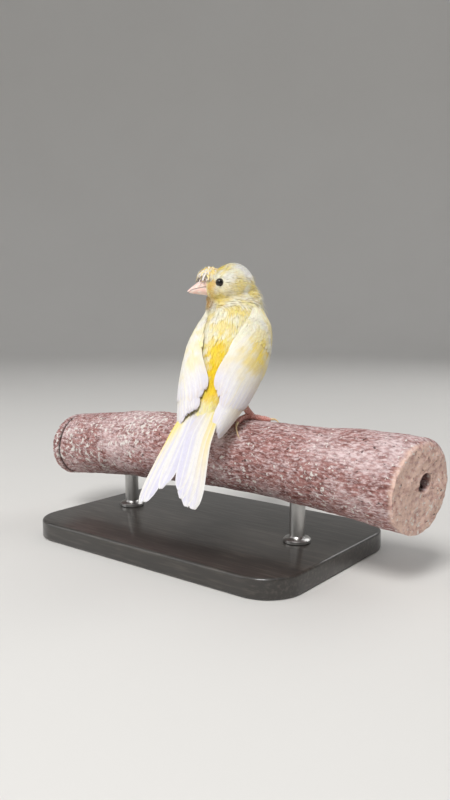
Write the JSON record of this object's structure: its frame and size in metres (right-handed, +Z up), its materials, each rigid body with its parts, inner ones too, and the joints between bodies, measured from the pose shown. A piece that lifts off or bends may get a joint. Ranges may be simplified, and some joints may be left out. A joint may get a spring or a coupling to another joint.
{
  "type": "canary",
  "caption": "Still canary with a tufted crest, life-size, gripping a cut length of branch that is held up by a flat display base and short rods.",
  "frame": {"origin": "centre of the display base's underside, on the floor", "axes": "+X along the branch, +Z up; the bird faces +Y turned a little towards -X, with its tail towards -Y"},
  "size_m": [0.21, 0.1162, 0.1345],
  "materials": {
    "plumage": "soft white and yellow feathers",
    "flight_feathers": "smooth white feathers with yellow edges",
    "horn": "satin pale pink horn",
    "eye": "wet black",
    "leg_skin": "scaled pink skin",
    "branch": "weathered, stained, reddish brown",
    "stand_base": "plain dark lacquer",
    "stand_rods": "brushed"
  },
  "bodies": {
    "root": {"stand_base": "stand_base", "stand_rod_left": "stand_rods", "stand_rod_right": "stand_rods", "perch": "branch", "torso": "plumage", "neck": "plumage", "head": "plumage", "crest": "plumage", "thigh_left": "plumage", "thigh_right": "plumage", "wing_left": "flight_feathers", "wing_right": "flight_feathers", "tail": "flight_feathers", "bill_upper": "horn", "bill_lower": "horn", "eye_left": "eye", "eye_right": "eye", "shank_left": "leg_skin", "shank_right": "leg_skin", "foot_left": "leg_skin", "foot_right": "leg_skin"}
  },
  "joints": []
}
